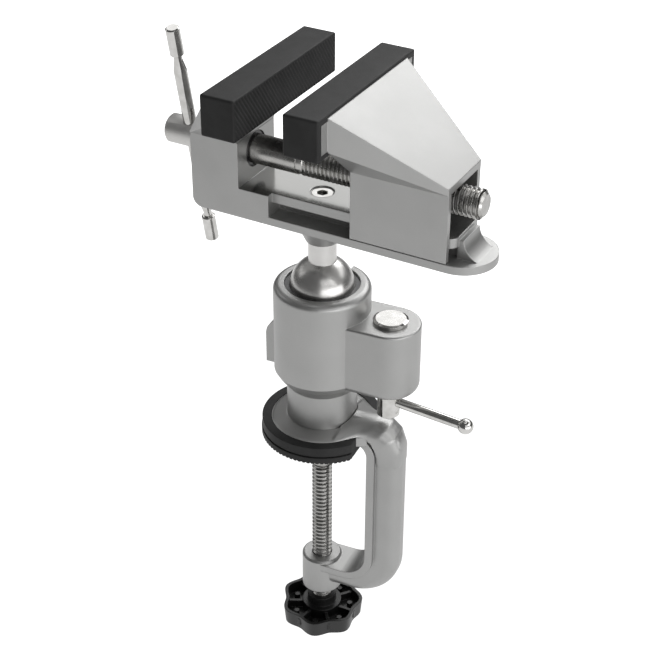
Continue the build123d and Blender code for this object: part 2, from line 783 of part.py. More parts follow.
def keeper_screw(length, head_gap):
    """One keeper screw pointing into the jaw from its far side, head flush with the tab."""
    head = Cylinder(keeper_screw_head_r + head_gap, keeper_head_t + head_gap,
                    align=(Align.CENTER, Align.CENTER, Align.MAX))
    shank = Cylinder(keeper_screw_r, length, align=(Align.CENTER, Align.CENTER, Align.MAX))
    return Rot(-90, 0, 0) * (head + shank)


def keeper_screw_places():
    """Where the two keeper screws stand, on the outer face of the tab."""
    spread = (guide_end - moving_back_x) / 2
    middle_x = (guide_end + moving_back_x) / 2
    high = bed_z + keeper_high - 2 * keeper_screw_head_r
    return [Pos(middle_x + side * spread / 2, bed_half, high) for side in (-1, 1)]


def keeper_screw_holes():
    """The tapped holes for the keeper screws in the jaw's front wall."""
    holes = [place * keeper_screw(keeper_screw_length, 0) for place in keeper_screw_places()]
    return holes[0] + holes[1]


def make_keeper_screws():
    """The two keeper screws."""
    return Compound([place * keeper_screw(keeper_screw_length, 0) for place in keeper_screw_places()])


def make_jaw_keeper():
    """The bracket that holds the moving jaw down under the far side of the rail."""
    return keeper_space() - keeper_screw_holes()


def make_drive_nut():
    """The square nut that is trapped in the moving jaw's front wall."""
    nut = Pos((nut_front_x + nut_back_x) / 2, 0, axis_z) * Box(jaw_nut_t, jaw_nut_side, jaw_nut_side)
    nut = chamfer(nut.edges().filter_by(Axis.X), jaw_nut_chamfer)
    return nut - along_x(screw_r + running_gap, nut_front_x - 1, nut_back_x + 1)


def bar_place():
    """The tommy bar's own place: its middle on the screw axis, leaning back by its tilt."""
    return Pos(bar_x, 0, axis_z) * Rot(bar_tilt, 0, 0)


def make_vise_screw():
    """The vise screw, with the hole for the tommy bar in its plain end."""
    screw = along_x(screw_r, screw_back, screw_end)
    ends = screw.edges().filter_by(GeomType.CIRCLE).sort_by(Axis.X)
    screw = chamfer([ends[0], ends[-1]], screw_tip_chamfer / 2)
    hole = Cylinder(bar_r + running_gap, 4 * screw_r)
    pin = Pos(bed_back + thrust_collar_t / 2, 0, axis_z) * Cylinder(collar_pin_r, 4 * screw_r)
    return screw - bar_place() * hole - pin


def make_thrust_collar():
    """The collar that takes the screw's pull, sunk in the back of the fixed jaw."""
    collar = along_x(thrust_collar_r, bed_back, bed_back + thrust_collar_t - seat_gap)
    collar -= along_x(screw_r, bed_back - 1, bed_back + thrust_collar_t)
    return collar - Pos(bed_back + thrust_collar_t / 2, 0, axis_z) * Cylinder(collar_pin_r, 4 * thrust_collar_r)


def make_collar_pin():
    """The roll pin through the collar and the screw."""
    return Pos(bed_back + thrust_collar_t / 2, 0, axis_z) * Cylinder(collar_pin_r, 2 * (thrust_collar_r - sliding_gap))


def make_screw_clip():
    """The spring clip that stops the screw from drawing back when the jaw opens."""
    clip = along_x(clip_r, clip_start, clip_start + clip_t)
    clip -= along_x(screw_r, clip_start - 1, clip_start + clip_t + 1)
    return clip - Pos(clip_start + clip_t / 2, 0, axis_z - clip_r) * Box(3 * clip_t, clip_mouth, clip_r)


def make_bar_rod():
    """The tommy bar's rod: it narrows by a cone to a neck at both ends."""
    up = bar_up - bar_cap_h
    down = -(bar_down - bar_cap_h)
    tenon_r = bar_neck_r * bar_tenon
    profile = [
        (0, down - bar_tenon_h),
        (tenon_r, down - bar_tenon_h),
        (tenon_r, down),
        (bar_neck_r, down),
        (bar_neck_r, down + bar_neck_h),
        (bar_r, down + bar_neck_h + bar_cone_h),
        (bar_r, up - bar_neck_h - bar_cone_h),
        (bar_neck_r, up - bar_neck_h),
        (bar_neck_r, up),
        (tenon_r, up),
        (tenon_r, up + bar_tenon_h),
        (0, up + bar_tenon_h),
    ]
    return bar_place() * column_profile(profile)


def make_bar_cap(side):
    """The cap on one end of the tommy bar."""
    inner = bar_up - bar_cap_h if side > 0 else -(bar_down - bar_cap_h)
    cap = Pos(0, 0, inner + side * bar_cap_h / 2) * Cylinder(bar_cap_r, bar_cap_h)
    cap = chamfer(cap.edges(), bar_cap_chamfer)
    tenon_middle = inner + side * bar_tenon_h / 2
    return bar_place() * (cap - Pos(0, 0, tenon_middle) * Cylinder(bar_neck_r * bar_tenon, bar_tenon_h))


clamp_frame = make_clamp_frame()
lever_rod = make_lever_rod()

turned_with_base = {
    "clamp_frame": clamp_frame,
    "platform_pad": make_platform_pad(clamp_frame),
    "pressure_foot": make_pressure_foot(),
    "clamp_screw": make_clamp_screw(),
    "clamp_knob": make_clamp_knob(),
    "knob_nut": make_knob_nut(),
    "ball_housing": make_ball_housing(),
    "ball_seat": make_ball_seat(),
    "retaining_ring": make_retaining_ring(),
    "swivel_washer": make_swivel_washer(),
    "swivel_screw": make_swivel_screw(),
    "lock_bolt": make_lock_bolt(),
    "brake_plunger": make_brake_plunger(),
    "lever_hub": make_lever_hub(),
    "lever_rod": lever_rod,
    "lever_tip": make_lever_tip(lever_rod),
}

in_line_with_screw = {
    "ball_stud": make_ball_stud(),
    "stem_screw": make_stem_screw(),
    "vise_bed": make_vise_bed(),
    "fixed_jaw_cover": make_jaw_cover(fixed_face_x, fixed_back_x),
    "moving_jaw": make_moving_jaw(),
    "moving_jaw_cover": make_jaw_cover(moving_face_x, moving_back_x),
    "drive_nut": make_drive_nut(),
    "jaw_keeper": make_jaw_keeper(),
    "keeper_screws": make_keeper_screws(),
    "vise_screw": make_vise_screw(),
    "thrust_collar": make_thrust_collar(),
    "collar_pin": make_collar_pin(),
    "screw_clip": make_screw_clip(),
    "bar_rod": make_bar_rod(),
    "bar_cap_upper": make_bar_cap(1),
    "bar_cap_lower": make_bar_cap(-1),
}

os.makedirs("parts", exist_ok=True)
for name, shape in turned_with_base.items():
    export_step(yaw * shape, f"parts/{name}.step")
for name, shape in in_line_with_screw.items():
    export_step(shape, f"parts/{name}.step")
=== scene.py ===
import json
import math

import bmesh
import bpy
from mathutils import Matrix, Vector


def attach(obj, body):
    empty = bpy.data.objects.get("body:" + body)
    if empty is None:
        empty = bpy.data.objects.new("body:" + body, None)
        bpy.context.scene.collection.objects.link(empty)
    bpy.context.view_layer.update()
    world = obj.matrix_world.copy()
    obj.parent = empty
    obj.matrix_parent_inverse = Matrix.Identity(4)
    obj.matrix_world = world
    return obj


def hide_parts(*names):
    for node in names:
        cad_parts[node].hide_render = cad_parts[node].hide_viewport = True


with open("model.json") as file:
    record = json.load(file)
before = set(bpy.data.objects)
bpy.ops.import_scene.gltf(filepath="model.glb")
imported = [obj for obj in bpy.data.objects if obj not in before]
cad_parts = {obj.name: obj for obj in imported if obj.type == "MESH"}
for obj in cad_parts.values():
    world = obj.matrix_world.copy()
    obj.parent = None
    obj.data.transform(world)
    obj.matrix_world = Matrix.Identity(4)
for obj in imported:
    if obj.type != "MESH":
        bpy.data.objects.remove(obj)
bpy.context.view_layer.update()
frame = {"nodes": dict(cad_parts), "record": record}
nodes = frame["nodes"]
mm = 0.001
print("frame loaded:", len(nodes), "nodes")


def hexToLinear(code, alpha=1.0):
    channels = [int(code[i:i + 2], 16) / 255 for i in (1, 3, 5)]
    return [c / 12.92 if c <= 0.04045 else ((c + 0.055) / 1.055) ** 2.4 for c in channels] + [alpha]


def addNode(tree, kind, settings=None, links=None):
    node = tree.nodes.new(kind)
    for name, value in (settings or {}).items():
        if isinstance(name, int) or name in node.inputs:
            node.inputs[name].default_value = value
        else:
            setattr(node, name, value)
    for name, source in (links or {}).items():
        tree.links.new(source, node.inputs[name])
    return node


def setRamp(ramp, stops):
    elements = ramp.color_ramp.elements
    while len(elements) < len(stops):
        elements.new(0.5)
    for element, (position, colour) in zip(elements, stops):
        element.position = position
        element.color = colour


def meshObject(name, bm, material):
    mesh = bpy.data.meshes.new(name)
    bmesh.ops.recalc_face_normals(bm, faces=bm.faces)
    bm.to_mesh(mesh)
    bm.free()
    mesh.materials.append(material)
    piece = bpy.data.objects.new(name, mesh)
    bpy.context.scene.collection.objects.link(piece)
    return piece


def smoothByAngle(piece, degrees=32):
    for polygon in piece.data.polygons:
        polygon.use_smooth = True
    piece.data.set_sharp_from_angle(angle=math.radians(degrees))


def newSurface(name):
    material = bpy.data.materials.new(name)
    material.use_nodes = True
    tree = material.node_tree
    tree.nodes.clear()
    place = addNode(tree, "ShaderNodeTexCoord")
    shader = addNode(tree, "ShaderNodeBsdfPrincipled")
    addNode(tree, "ShaderNodeOutputMaterial", links={"Surface": shader.outputs["BSDF"]})
    return material, tree, place.outputs["Object"], shader


castSettings = {
    "dark": "#a8a8a7",
    "light": "#adadac",
    "metallic": 0.85,
    "roughness": (0.36, 0.44),
    "cloudMm": 16.0,      # hardly seen clouds in the lacquer
    "grainMm": 0.4,       # blasted grain, drawn coarser than the real 0.1 mm so that it shows
    "grainDepthMm": 0.008,
    "grainStrength": 0.6,
    "edgeMm": 0.5,        # rounded edges of the casting
    "milled": "#a9a9a7",
    "milledRoughness": (0.09, 0.23),
    "railTopMm": 110.7,   # the one face of the bed that is milled, where the jaw slides
    # the cutter's marks: 0.6 mm apart across the rail, 25 mm long
    "marks": (40.0, 1600.0, 40.0),
}


# die-cast aluminium, blasted and lacquered silver: satin, with soft wide highlights
def castAluminium(name, milled=False):
    s = castSettings
    material, tree, place, shader = newSurface(name)
    clouds = addNode(tree, "ShaderNodeTexNoise", {"Scale": 1 / (s["cloudMm"] * mm), "Detail": 3.0},
                     {"Vector": place})
    grain = addNode(tree, "ShaderNodeTexNoise", {"Scale": 1 / (s["grainMm"] * mm), "Detail": 2.0},
                    {"Vector": place})
    tint = addNode(tree, "ShaderNodeValToRGB", links={"Fac": clouds.outputs["Fac"]})
    setRamp(tint, [(0.3, hexToLinear(s["dark"])), (0.7, hexToLinear(s["light"]))])
    rough = addNode(tree, "ShaderNodeMapRange", {
        "From Min": 0.3, "From Max": 0.7, "To Min": s["roughness"][0], "To Max": s["roughness"][1],
    }, {"Value": grain.outputs["Fac"]})
    rounded = addNode(tree, "ShaderNodeBevel", {"samples": 6, "Radius": s["edgeMm"] * mm})
    bump = addNode(tree, "ShaderNodeBump", {
        "Strength": s["grainStrength"], "Distance": s["grainDepthMm"] * mm,
    }, {"Height": grain.outputs["Fac"], "Normal": rounded.outputs["Normal"]})
    colour, roughness = tint.outputs["Color"], rough.outputs["Result"]
    if milled:
        # a mask of the rail's top: level with it, and looking up
        height = addNode(tree, "ShaderNodeSeparateXYZ", links={"Vector": place})
        level = addNode(tree, "ShaderNodeMath", {
            "operation": "COMPARE", 1: s["railTopMm"] * mm, 2: 0.05 * mm,
        }, {0: height.outputs["Z"]})
        surface = addNode(tree, "ShaderNodeNewGeometry")
        facing = addNode(tree, "ShaderNodeSeparateXYZ", links={"Vector": surface.outputs["True Normal"]})
        upward = addNode(tree, "ShaderNodeMath", {"operation": "GREATER_THAN", 1: 0.9},
                         {0: facing.outputs["Z"]})
        top = addNode(tree, "ShaderNodeMath", {"operation": "MULTIPLY"},
                      {0: level.outputs[0], 1: upward.outputs[0]})
        stretched = addNode(tree, "ShaderNodeMapping", {"Scale": s["marks"]}, {"Vector": place})
        marks = addNode(tree, "ShaderNodeTexNoise", {"Scale": 1.0, "Detail": 2.0},
                        {"Vector": stretched.outputs[0]})
        polish = addNode(tree, "ShaderNodeMapRange", {
            "To Min": s["milledRoughness"][0], "To Max": s["milledRoughness"][1],
        }, {"Value": marks.outputs["Fac"]})
        # 6, 7 and 2 are the Mix node's colour sockets, 2, 3 and 0 its plain ones
        mixed = addNode(tree, "ShaderNodeMix", {"data_type": "RGBA"}, {"Factor": top.outputs[0]})
        tree.links.new(colour, mixed.inputs[6])
        mixed.inputs[7].default_value = hexToLinear(s["milled"])
        smooth = addNode(tree, "ShaderNodeMix", {"data_type": "FLOAT"}, {"Factor": top.outputs[0]})
        tree.links.new(roughness, smooth.inputs[2])
        tree.links.new(polish.outputs["Result"], smooth.inputs[3])
        colour, roughness = mixed.outputs[2], smooth.outputs[0]
    shader.inputs["Metallic"].default_value = s["metallic"]
    tree.links.new(colour, shader.inputs["Base Color"])
    tree.links.new(roughness, shader.inputs["Roughness"])
    tree.links.new(bump.outputs["Normal"], shader.inputs["Normal"])
    return material


turnedSettings = {
    "dark": "#a6a5a2",
    "light": "#bdbcba",
    "roughness": (0.2, 0.32),
    "markMm": 0.5,        # turning marks, drawn coarser than the real 0.1 mm feed
    "cloudMm": 5.0,
    "depthMm": 0.004,
    "strength": 0.5,
    "edgeMm": 0.15,
}


def turnedSteel(name, axis):  # zinc-plated turned steel: fine rings round the axis, a little cloudy
    s = turnedSettings
    material, tree, place, shader = newSurface(name)
    rings = addNode(tree, "ShaderNodeTexWave", {
        "wave_type": "BANDS", "bands_direction": axis, "Scale": 1 / (s["markMm"] * mm) / 6.0,
        "Distortion": 1.5, "Detail": 2.0, "Detail Scale": 1.0,
    }, {"Vector": place})
    clouds = addNode(tree, "ShaderNodeTexNoise", {"Scale": 1 / (s["cloudMm"] * mm), "Detail": 4.0},
                     {"Vector": place})
    tint = addNode(tree, "ShaderNodeValToRGB", links={"Fac": clouds.outputs["Fac"]})
    setRamp(tint, [(0.35, hexToLinear(s["dark"])), (0.65, hexToLinear(s["light"]))])
    rough = addNode(tree, "ShaderNodeMapRange", {
        "From Min": 0.3, "From Max": 0.7, "To Min": s["roughness"][0], "To Max": s["roughness"][1],
    }, {"Value": clouds.outputs["Fac"]})
    rounded = addNode(tree, "ShaderNodeBevel", {"samples": 4, "Radius": s["edgeMm"] * mm})
    bump = addNode(tree, "ShaderNodeBump", {"Strength": s["strength"], "Distance": s["depthMm"] * mm},
                   {"Height": rings.outputs["Fac"], "Normal": rounded.outputs["Normal"]})
    shader.inputs["Metallic"].default_value = 1.0
    tree.links.new(tint.outputs["Color"], shader.inputs["Base Color"])
    tree.links.new(rough.outputs["Result"], shader.inputs["Roughness"])
    tree.links.new(bump.outputs["Normal"], shader.inputs["Normal"])
    return material


satinSettings = {
    "dark": "#cdccca",
    "light": "#d8d7d5",
    "groundRoughness": (0.27, 0.33),   # the ball and its stem
    "blastedRoughness": (0.5, 0.58),   # the head of the vise screw
    "cloudMm": 6.0,
    "edgeMm": 0.2,
}


def satinSteel(name, roughness):  # ground or blasted steel: an even satin with wide soft reflections
    s = satinSettings
    material, tree, place, shader = newSurface(name)
    clouds = addNode(tree, "ShaderNodeTexNoise", {"Scale": 1 / (s["cloudMm"] * mm), "Detail": 2.0},
                     {"Vector": place})
    tint = addNode(tree, "ShaderNodeValToRGB", links={"Fac": clouds.outputs["Fac"]})
    setRamp(tint, [(0.3, hexToLinear(s["dark"])), (0.7, hexToLinear(s["light"]))])
    rough = addNode(tree, "ShaderNodeMapRange", {
        "From Min": 0.3, "From Max": 0.7, "To Min": roughness[0], "To Max": roughness[1],
    }, {"Value": clouds.outputs["Fac"]})
    rounded = addNode(tree, "ShaderNodeBevel", {"samples": 4, "Radius": s["edgeMm"] * mm})
    shader.inputs["Metallic"].default_value = 1.0
    tree.links.new(tint.outputs["Color"], shader.inputs["Base Color"])
    tree.links.new(rough.outputs["Result"], shader.inputs["Roughness"])
    tree.links.new(rounded.outputs["Normal"], shader.inputs["Normal"])
    return material


nickelSettings = {
    "dark": "#c4c3c0",
    "light": "#d6d5d3",
    "roughness": (0.07, 0.14),
    "smearMm": 4.0,
    "edgeMm": 0.2,
}


def nickelPlate():  # polished nickel plate: near mirror, with faint smears
    s = nickelSettings
    material, tree, place, shader = newSurface("polishedNickelPlate")
    smears = addNode(tree, "ShaderNodeTexNoise", {"Scale": 1 / (s["smearMm"] * mm), "Detail": 5.0},
                     {"Vector": place})
    tint = addNode(tree, "ShaderNodeValToRGB", links={"Fac": smears.outputs["Fac"]})
    setRamp(tint, [(0.35, hexToLinear(s["dark"])), (0.65, hexToLinear(s["light"]))])
    rough = addNode(tree, "ShaderNodeMapRange", {
        "From Min": 0.3, "From Max": 0.7, "To Min": s["roughness"][0], "To Max": s["roughness"][1],
    }, {"Value": smears.outputs["Fac"]})
    rounded = addNode(tree, "ShaderNodeBevel", {"samples": 4, "Radius": s["edgeMm"] * mm})
    shader.inputs["Metallic"].default_value = 1.0
    tree.links.new(tint.outputs["Color"], shader.inputs["Base Color"])
    tree.links.new(rough.outputs["Result"], shader.inputs["Roughness"])
    tree.links.new(rounded.outputs["Normal"], shader.inputs["Normal"])
    return material


# natural rubber with carbon black: matt, no clear highlights
rubberSettings = {
    "dark": "#242424", "light": "#2c2c2c", "roughness": (0.52, 0.6),
    "grainMm": 0.4, "depthMm": 0.012, "specular": 0.28, "edgeMm": 0.6,
}
# glass-filled nylon straight from the mould: a slight sheen on a fine texture
nylonSettings = {
    "dark": "#0e0e0e", "light": "#151515", "roughness": (0.3, 0.42),
    "grainMm": 0.3, "depthMm": 0.01, "specular": 0.5, "edgeMm": 0.5,
}
# natural nylon of the ball's seat: milky, waxy
seatSettings = {
    "dark": "#cfcdc4", "light": "#dbd9d1", "roughness": (0.4, 0.5),
    "grainMm": 0.5, "depthMm": 0.01, "specular": 0.5, "edgeMm": 0.2,
}
# blackened spring steel of the clip: dark grey with an oily gloss
oxideSettings = {
    "dark": "#1c1c1e", "light": "#262628", "roughness": (0.3, 0.4),
    "grainMm": 0.3, "depthMm": 0.006, "specular": 0.8, "edgeMm": 0.1,
}
mouldCloudMm = 7.0    # slow changes of tone over a moulded face


def mouldedSurface(name, s):
    material, tree, place, shader = newSurface(name)
    grain = addNode(tree, "ShaderNodeTexNoise", {"Scale": 1 / (s["grainMm"] * mm), "Detail": 3.0},
                    {"Vector": place})
    clouds = addNode(tree, "ShaderNodeTexNoise", {"Scale": 1 / (mouldCloudMm * mm), "Detail": 2.0},
                     {"Vector": place})
    tint = addNode(tree, "ShaderNodeValToRGB", links={"Fac": clouds.outputs["Fac"]})
    setRamp(tint, [(0.35, hexToLinear(s["dark"])), (0.65, hexToLinear(s["light"]))])
    rough = addNode(tree, "ShaderNodeMapRange", {
        "From Min": 0.3, "From Max": 0.7, "To Min": s["roughness"][0], "To Max": s["roughness"][1],
    }, {"Value": grain.outputs["Fac"]})
    rounded = addNode(tree, "ShaderNodeBevel", {"samples": 4, "Radius": s["edgeMm"] * mm})
    bump = addNode(tree, "ShaderNodeBump", {"Strength": 0.6, "Distance": s["depthMm"] * mm},
                   {"Height": grain.outputs["Fac"], "Normal": rounded.outputs["Normal"]})
    shader.inputs["Specular IOR Level"].default_value = s["specular"]
    tree.links.new(tint.outputs["Color"], shader.inputs["Base Color"])
    tree.links.new(rough.outputs["Result"], shader.inputs["Roughness"])
    tree.links.new(bump.outputs["Normal"], shader.inputs["Normal"])
    return material


castMaterial = castAluminium("blastedCastAluminium")
bedMaterial = castAluminium("blastedCastAluminiumMilledRail", milled=True)
screwMaterial = turnedSteel("turnedZincSteelAlongX", "X")
turnedMaterial = turnedSteel("turnedZincSteelAlongZ", "Z")
nickelMaterial = nickelPlate()
satinMaterial = satinSteel("satinGroundSteel", satinSettings["groundRoughness"])
headMaterial = satinSteel("blastedSteelHead", satinSettings["blastedRoughness"])
rubberMaterial = mouldedSurface("mouldedBlackRubber", rubberSettings)
nylonMaterial = mouldedSurface("mouldedBlackNylon", nylonSettings)
seatMaterial = mouldedSurface("naturalNylon", seatSettings)
oxideMaterial = mouldedSurface("blackOxideSpringSteel", oxideSettings)

materialOfSlot = {
    "cast_aluminium": castMaterial,
    "machined_steel": turnedMaterial,
    "polished_steel": nickelMaterial,
    "black_rubber": rubberMaterial,
    "black_plastic": nylonMaterial,
    "white_nylon": seatMaterial,
    "black_oxide_steel": oxideMaterial,
}
for subpart in frame["record"]["subparts"]:
    node = nodes[subpart["node"]]
    node.data.materials.clear()
    node.data.materials.append(materialOfSlot[subpart["material_slot"]])
for name in ("vise_screw", "thrust_collar", "drive_nut"):
    nodes[name].data.materials[0] = screwMaterial
nodes["vise_bed"].data.materials[0] = bedMaterial
nodes["ball_stud"].data.materials[0] = satinMaterial
print("materials made")


def threadRows(bm, place, thread, perTurn=48, perPitch=12):
    # rows follow the helix, so the flanks stay clean; place takes (along, across, up) to the part
    pitch, start, end = thread["pitch"], thread["start"], thread["end"]

    def point(row, column):
        turn = column / perTurn
        along = start + pitch * (row / perPitch + turn - 1)
        phase = (row / perPitch) % 1.0
        flank = min(1.0, max(0.0, 1.6 * (abs(phase - 0.5) * 2) - 0.25))
        inside = min(1.0, max(0.0, (along - start) / pitch), max(0.0, (end - along) / (0.6 * pitch)))
        radius = thread["crest"] - thread["depth"] * flank * min(1.0, 1.5 * inside)
        along = min(end, max(start, along))
        angle = 2 * math.pi * turn
        return place(along, radius * math.cos(angle), radius * math.sin(angle))

    rowCount = int(math.ceil((end - start) / pitch + 1) * perPitch)
    grid = [[bm.verts.new(point(row, column)) for column in range(perTurn)] for row in range(rowCount + 1)]
    for row in range(rowCount):
        here, above = grid[row], grid[row + 1]
        nextTurn = grid[min(row + perPitch, rowCount)][0]
        nextTurnAbove = grid[min(row + 1 + perPitch, rowCount)][0]
        for column in range(perTurn):
            if column < perTurn - 1:
                corners = (here[column], here[column + 1], above[column + 1], above[column])
            else:
                corners = (here[column], nextTurn, nextTurnAbove, above[column])
            unique = list(dict.fromkeys(corners))
            if len(unique) > 2:
                bm.faces.new(unique)


def ringStack(bm, place, profile, segments=48):
    # a closed turned body from pairs of place and radius
    rings = []
    for along, radius in profile:
        angles = [2 * math.pi * step / segments for step in range(segments)]
        rings.append([bm.verts.new(place(along, radius * math.cos(a), radius * math.sin(a))) for a in angles])
    for first, second in zip(rings, rings[1:]):
        for step in range(segments):
            after = (step + 1) % segments
            bm.faces.new((first[step], first[after], second[after], second[step]))
    bm.faces.new(rings[0])
    bm.faces.new(rings[-1])


def threadMesh(name, material, place, thread, ends):
    bm = bmesh.new()
    threadRows(bm, place, thread)
    bmesh.ops.remove_doubles(bm, verts=bm.verts, dist=1e-6)
    for profile in ends:
        ringStack(bm, place, profile)
    piece = meshObject(name, bm, material)
    smoothByAngle(piece, 40)
    return piece


def keepBeyond(node, name, cuts, material=None):
    # a copy of a CAD node, cut by planes: what lies on each normal's side goes
    bm = bmesh.new()
    bm.from_mesh(nodes[node].data)
    bmesh.ops.remove_doubles(bm, verts=bm.verts, dist=1e-6)
    for origin, normal in cuts:
        cut = bmesh.ops.bisect_plane(bm, geom=bm.verts[:] + bm.edges[:] + bm.faces[:], plane_co=origin,
                                     plane_no=normal, clear_outer=True)
        edges = [item for item in cut["geom_cut"] if isinstance(item, bmesh.types.BMEdge)]
        bmesh.ops.holes_fill(bm, edges=edges)
    piece = meshObject(name, bm, material or nodes[node].data.materials[0])
    smoothByAngle(piece, 32)
    return piece


screwAxisZ = 122.0 * mm
shankEndX, headEndX = -12.5, -50.0   # where the CAD's own shank and head of the vise screw begin
clampTipZ = -17.2                    # where the CAD's own tip of the clamp screw begins
viseThread = {"pitch": 1.75, "crest": 5.8, "depth": 0.95, "start": -6.4, "end": 65.6}
# rings of place and radius: the chamfered tip, and behind the thread the shank with its relief
viseTip = [(64.8, 4.9), (66.2, 4.9), (67.1, 4.1)]
viseShankEnd = [(-13.0, 5.8), (-8.9, 5.8), (-8.7, 5.5), (-6.9, 5.35), (-6.2, 4.9), (-5.4, 4.9)]
clampThread = {"pitch": 2.0, "crest": 4.25, "depth": 0.8, "start": -100.1, "end": -17.6}
clampTip = [(-18.4, 3.45), (-17.0, 3.45), (-16.4, 3.0)]
clampFoot = [(-100.15, 3.4), (-99.0, 3.4)]


def alongX(along, across, up):
    return Vector((along * mm, across * mm, screwAxisZ + up * mm))


def alongZ(along, across, up):
    return Vector((across * mm, up * mm, along * mm))


viseThreadPiece = threadMesh("viseScrewThread", screwMaterial, alongX, viseThread, [viseShankEnd, viseTip])
shankEnd, headEnd = alongX(shankEndX, 0, 0), alongX(headEndX, 0, 0)
viseShank = keepBeyond("vise_screw", "viseScrewShank", [(shankEnd, (1, 0, 0)), (headEnd, (-1, 0, 0))])
viseHead = keepBeyond("vise_screw", "viseScrewHead", [(headEnd, (1, 0, 0))], headMaterial)
for piece in (viseThreadPiece, viseShank, viseHead):
    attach(piece, "vise_spindle")
    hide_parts("vise_screw")

clampThreadPiece = threadMesh("clampScrewThread", turnedMaterial, alongZ, clampThread, [clampFoot, clampTip])
clampTipPiece = keepBeyond("clamp_screw", "clampScrewTip", [(alongZ(clampTipZ, 0, 0), (0, 0, -1))])
for piece in (clampThreadPiece, clampTipPiece):
    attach(piece, "clamp_spindle")
    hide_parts("clamp_screw")
print("threads cut")

gripSettings = {
    "pitch": 1.54,        # across the grooves, which is 1.9 mm along the jaw
    "land": 0.45,         # flat crest between two grooves
    "depth": 0.5,
    "slope": 54.0,        # degrees below the jaw's length
    "reach": 48.0,
    "fixedFace": -14.9,   # x of the two gripping faces
    "movingFace": 4.7,
}


def middleX(node):
    return (nodes[node].bound_box[0][0] + nodes[node].bound_box[6][0]) / 2


def groovedGrip(node, name, faceX, side):
    # the moulded cover with V grooves cut across its gripping face
    s = gripSettings
    bm = bmesh.new()
    bm.from_mesh(nodes[node].data)
    bmesh.ops.remove_doubles(bm, verts=bm.verts, dist=1e-6)
    slope = math.radians(s["slope"])
    across = Vector((0, side * math.sin(slope), math.cos(slope)))
    middle = (nodes[node].bound_box[0][2] + nodes[node].bound_box[6][2]) / 2
    centre = Vector((faceX, 0, middle))
    half = (s["pitch"] - s["land"]) / 2
    count = int(s["reach"] / s["pitch"])
    for step in range(-count, count + 1):
        for offset in (-half, 0, half):
            cut = centre + across * (step * s["pitch"] + offset) * mm
            geometry = bm.verts[:] + bm.edges[:] + bm.faces[:]
            bmesh.ops.bisect_plane(bm, geom=geometry, plane_co=cut, plane_no=across)
    inward = 1 if middleX(node) > faceX else -1
    for vertex in bm.verts:
        if abs(vertex.co.x - faceX) < 0.01 * mm:
            place = (vertex.co - centre).dot(across) / mm
            away = abs(place - s["pitch"] * round(place / s["pitch"]))
            vertex.co.x += inward * s["depth"] * mm * max(0.0, 1 - away / half)
    piece = meshObject(name, bm, rubberMaterial)
    smoothByAngle(piece, 30)
    return piece


fixedGrip = groovedGrip("fixed_jaw_cover", "fixedJawGrip", gripSettings["fixedFace"] * mm, 1)
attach(fixedGrip, "head")
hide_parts("fixed_jaw_cover")
movingGrip = groovedGrip("moving_jaw_cover", "movingJawGrip", gripSettings["movingFace"] * mm, -1)
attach(movingGrip, "jaw")
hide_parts("moving_jaw_cover")
print("grips grooved")

rootSettings = {
    "yaw": 5.0,           # the frame's turn about the column
    "ringCount": 96,
    "archCount": 24,
    "voxel": 0.42,
    "smoothing": 9,
    "skirt": 14.75,       # the housing turns inside this radius
    "skirtZ": 9.18,
    # the flat disc falls from the post to its edge: radius and height
    "disc": [(14.0, 9.4), (20.8, 7.35), (20.8, 5.0), (14.0, 5.0)],
    # sections of the arm: edge x and z, crest x and z, half width, fullness
    "sections": [
        (12.0, 7.2, 12.0, 11.9, 17.0, 1.35),
        (14.8, 7.2, 14.8, 12.1, 14.8, 1.4),
        (17.5, 7.4, 17.6, 12.3, 12.2, 1.5),
        (20.0, 7.2, 20.6, 12.4, 10.2, 1.7),
        (22.6, 6.5, 25.0, 12.4, 8.8, 2.1),
        (25.0, 4.2, 30.6, 11.2, 8.3, 2.6),
        (26.4, 1.0, 34.6, 7.7, 8.1, 3.0),
        (26.8, -3.0, 37.0, 1.0, 7.0, 3.6),
        (26.8, -9.0, 36.9, -7.0, 6.1, 4.5),
    ],
}


